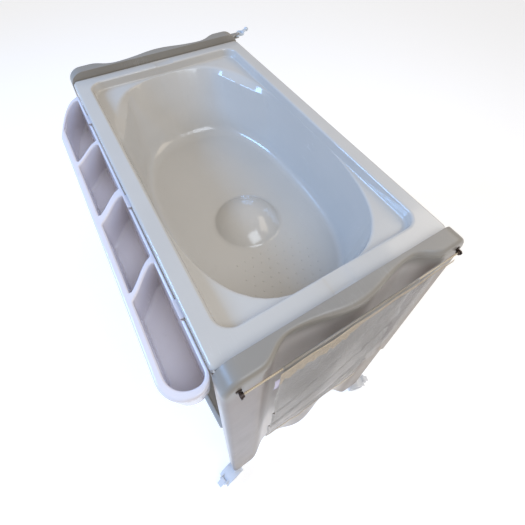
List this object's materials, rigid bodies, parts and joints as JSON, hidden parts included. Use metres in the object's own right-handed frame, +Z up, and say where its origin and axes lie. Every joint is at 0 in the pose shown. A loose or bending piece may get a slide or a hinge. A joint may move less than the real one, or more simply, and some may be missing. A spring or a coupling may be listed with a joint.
{
  "type": "baby changing table",
  "caption": "Baby bath and changing stand: moulded bath with mat recess between two fluted end panels on braked castors, with side tray, low shelf and hanging net pocket.",
  "frame": {"origin": "on the floor under the middle of the whole stand", "axes": "+X along the bath towards its foot end and the end panel with the pocket, +Y across it away from the side tray, +Z up"},
  "size_m": [0.9512, 0.637, 1.015],
  "materials": {
    "white_plastic": "glossy moulded, warm white",
    "panel_plastic": "satin blow-moulded, warm off-white",
    "castor_plastic": "glossy moulded, cool white",
    "wheel_plastic": "satin, slightly scuffed",
    "hook_plastic": "glossy translucent grey-blue",
    "plug_plastic": "soft satin",
    "rail_steel": "white powder coat",
    "screw_steel": "zinc plated",
    "dark_metal": "dark bronze, worn",
    "net": "fine off-white net, sheer",
    "lace": "beige cotton lace",
    "cord": "beige covered elastic"
  },
  "bodies": {
    "stand": {"end_panel_right": "panel_plastic", "end_panel_left": "panel_plastic", "storage_shelf": "white_plastic", "upper_rail_front": "rail_steel", "upper_rail_rear": "rail_steel", "shelf_rail_front": "rail_steel", "shelf_rail_rear": "rail_steel", "rail_screws_right": "screw_steel", "rail_screws_left": "screw_steel", "shelf_screws": "screw_steel", "towel_hook_pin": "screw_steel", "storage_pocket": "net", "lace_trim": "lace", "elastic_cord": "cord", "cord_hook_front": "dark_metal", "cord_hook_rear": "dark_metal", "socket_right_front": "white_plastic", "socket_right_rear": "white_plastic", "socket_left_front": "white_plastic", "socket_left_rear": "white_plastic"},
    "bath": {"bath_tub": "white_plastic", "drain_outlet": "white_plastic"},
    "plug": {"drain_plug": "plug_plastic"},
    "tray": {"accessory_tray": "white_plastic"},
    "hook": {"towel_hook": "hook_plastic"},
    "castor_right_front": {"hood_right_front": "castor_plastic", "stem_right_front": "screw_steel", "axle_right_front": "screw_steel"},
    "wheel_a_right_front": {"wheel_a_right_front": "wheel_plastic"},
    "wheel_b_right_front": {"wheel_b_right_front": "wheel_plastic"},
    "pedal_right_front": {"brake_pedal_right_front": "castor_plastic"},
    "castor_right_rear": {"hood_right_rear": "castor_plastic", "stem_right_rear": "screw_steel", "axle_right_rear": "screw_steel"},
    "wheel_a_right_rear": {"wheel_a_right_rear": "wheel_plastic"},
    "wheel_b_right_rear": {"wheel_b_right_rear": "wheel_plastic"},
    "pedal_right_rear": {"brake_pedal_right_rear": "castor_plastic"},
    "castor_left_front": {"hood_left_front": "castor_plastic", "stem_left_front": "screw_steel", "axle_left_front": "screw_steel"},
    "wheel_a_left_front": {"wheel_a_left_front": "wheel_plastic"},
    "wheel_b_left_front": {"wheel_b_left_front": "wheel_plastic"},
    "pedal_left_front": {"brake_pedal_left_front": "castor_plastic"},
    "castor_left_rear": {"hood_left_rear": "castor_plastic", "stem_left_rear": "screw_steel", "axle_left_rear": "screw_steel"},
    "wheel_a_left_rear": {"wheel_a_left_rear": "wheel_plastic"},
    "wheel_b_left_rear": {"wheel_b_left_rear": "wheel_plastic"},
    "pedal_left_rear": {"brake_pedal_left_rear": "castor_plastic"}
  },
  "joints": [
    {"name": "bath_lift", "type": "slide", "parent": "stand", "child": "bath", "axis": [0, 0, 1], "range_m": [0, 0.15]},
    {"name": "tray_unhook", "type": "slide", "parent": "bath", "child": "tray", "axis": [0, 0, 1], "range_m": [0, 0.0085]},
    {"name": "plug_pull", "type": "slide", "parent": "bath", "child": "plug", "axis": [0, 0, 1], "range_m": [0, 0.03]},
    {"name": "hook_swing", "type": "hinge", "parent": "stand", "child": "hook", "pos_m": [-0.4275, 0.26554, 1.003], "axis": [0, 0, 1], "range_deg": [-45, 45]},
    {"name": "castor_swivel_right_front", "type": "hinge", "parent": "stand", "child": "castor_right_front", "pos_m": [0.439, -0.22346, 0.075], "axis": [0, 0, 1], "continuous": true},
    {"name": "wheel_a_spin_right_front", "type": "hinge", "parent": "castor_right_front", "child": "wheel_a_right_front", "pos_m": [0.44421, -0.253, 0.028], "axis": [0.9848, 0.1736, 0], "continuous": true},
    {"name": "wheel_b_spin_right_front", "type": "hinge", "parent": "castor_right_front", "child": "wheel_b_right_front", "pos_m": [0.44421, -0.253, 0.028], "axis": [0.9848, 0.1736, 0], "continuous": true},
    {"name": "brake_press_right_front", "type": "hinge", "parent": "castor_right_front", "child": "pedal_right_front", "pos_m": [0.44977, -0.28452, 0.05], "axis": [0.9848, 0.1736, 0], "range_deg": [0, 22]},
    {"name": "castor_swivel_right_rear", "type": "hinge", "parent": "stand", "child": "castor_right_rear", "pos_m": [0.439, 0.23654, 0.075], "axis": [0, 0, 1], "continuous": true},
    {"name": "wheel_a_spin_right_rear", "type": "hinge", "parent": "castor_right_rear", "child": "wheel_a_right_rear", "pos_m": [0.44677, 0.26552, 0.028], "axis": [-0.9659, 0.2588, 0], "continuous": true},
    {"name": "wheel_b_spin_right_rear", "type": "hinge", "parent": "castor_right_rear", "child": "wheel_b_right_rear", "pos_m": [0.44677, 0.26552, 0.028], "axis": [-0.9659, 0.2588, 0], "continuous": true},
    {"name": "brake_press_right_rear", "type": "hinge", "parent": "castor_right_rear", "child": "pedal_right_rear", "pos_m": [0.45505, 0.29643, 0.05], "axis": [-0.9659, 0.2588, 0], "range_deg": [0, 22]},
    {"name": "castor_swivel_left_front", "type": "hinge", "parent": "stand", "child": "castor_left_front", "pos_m": [-0.439, -0.22346, 0.075], "axis": [0, 0, 1], "continuous": true},
    {"name": "wheel_a_spin_left_front", "type": "hinge", "parent": "castor_left_front", "child": "wheel_a_left_front", "pos_m": [-0.44421, -0.253, 0.028], "axis": [0.9848, -0.1736, 0], "continuous": true},
    {"name": "wheel_b_spin_left_front", "type": "hinge", "parent": "castor_left_front", "child": "wheel_b_left_front", "pos_m": [-0.44421, -0.253, 0.028], "axis": [0.9848, -0.1736, 0], "continuous": true},
    {"name": "brake_press_left_front", "type": "hinge", "parent": "castor_left_front", "child": "pedal_left_front", "pos_m": [-0.44977, -0.28452, 0.05], "axis": [0.9848, -0.1736, 0], "range_deg": [0, 22]},
    {"name": "castor_swivel_left_rear", "type": "hinge", "parent": "stand", "child": "castor_left_rear", "pos_m": [-0.439, 0.23654, 0.075], "axis": [0, 0, 1], "continuous": true},
    {"name": "wheel_a_spin_left_rear", "type": "hinge", "parent": "castor_left_rear", "child": "wheel_a_left_rear", "pos_m": [-0.44677, 0.26552, 0.028], "axis": [-0.9659, -0.2588, 0], "continuous": true},
    {"name": "wheel_b_spin_left_rear", "type": "hinge", "parent": "castor_left_rear", "child": "wheel_b_left_rear", "pos_m": [-0.44677, 0.26552, 0.028], "axis": [-0.9659, -0.2588, 0], "continuous": true},
    {"name": "brake_press_left_rear", "type": "hinge", "parent": "castor_left_rear", "child": "pedal_left_rear", "pos_m": [-0.45505, 0.29643, 0.05], "axis": [-0.9659, -0.2588, 0], "range_deg": [0, 22]}
  ]
}
